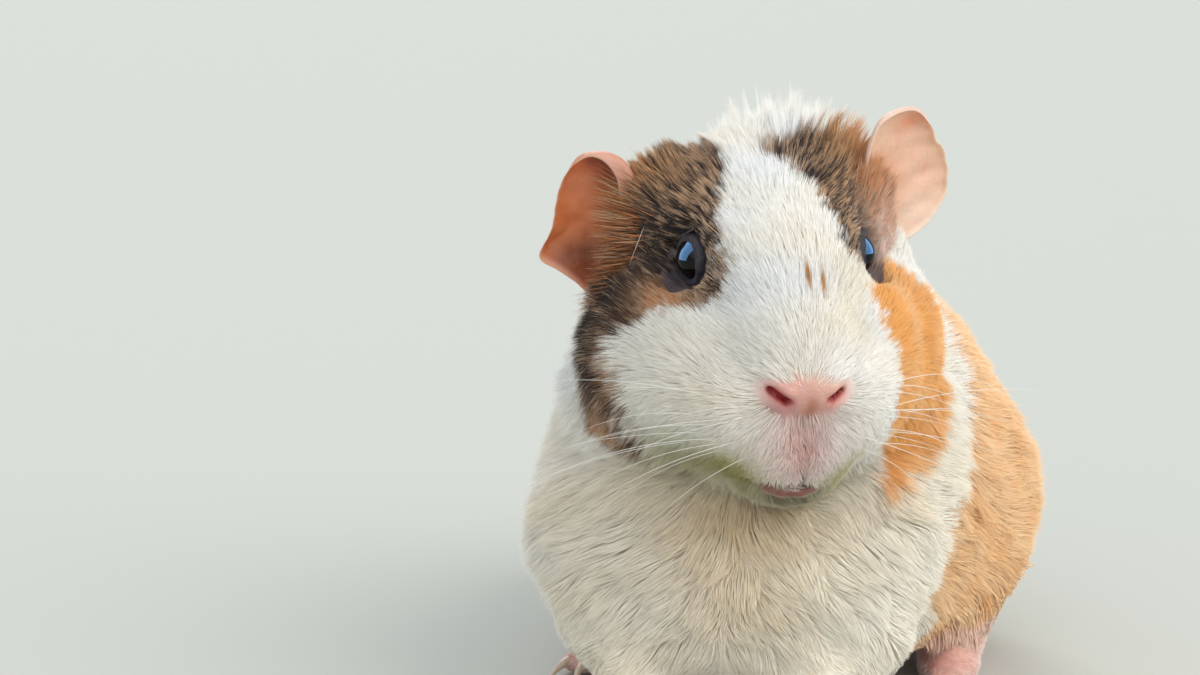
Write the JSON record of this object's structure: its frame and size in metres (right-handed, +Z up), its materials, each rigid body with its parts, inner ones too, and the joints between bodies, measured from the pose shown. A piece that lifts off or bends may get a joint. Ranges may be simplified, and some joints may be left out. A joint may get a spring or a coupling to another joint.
{
  "type": "guinea pig figure",
  "caption": "Life-size guinea pig sitting up on its forelegs, head turned slightly to its left, with a white, orange and dark tricolour coat.",
  "frame": {"origin": "on the floor, at the middle of the model's box seen from above", "axes": "+Z up; the animal faces -Y and turns its body 15 degrees to its own right of that; its left side is towards +X"},
  "size_m": [0.129, 0.1896, 0.1394],
  "materials": {
    "coat_head": "short to medium coat, lying back",
    "coat_body": "medium coat, soft and slightly ruffled",
    "skin_paw": "bare skin under very short hair",
    "skin_ear": "thin bare skin, satin",
    "skin_nose": "bare skin, slightly moist",
    "eye_glossy": "wet gloss"
  },
  "bodies": {
    "root": {"head": "coat_head", "nose": "skin_nose", "neck": "coat_body", "trunk": "coat_body", "ear_left": "skin_ear", "ear_right": "skin_ear", "eye_left": "eye_glossy", "eye_right": "eye_glossy", "foreleg_left": "coat_body", "foreleg_right": "coat_body", "forepaw_left": "skin_paw", "forepaw_right": "skin_paw", "hindleg_left": "coat_body", "hindleg_right": "coat_body", "hindpaw_left": "skin_paw", "hindpaw_right": "skin_paw"}
  },
  "joints": []
}
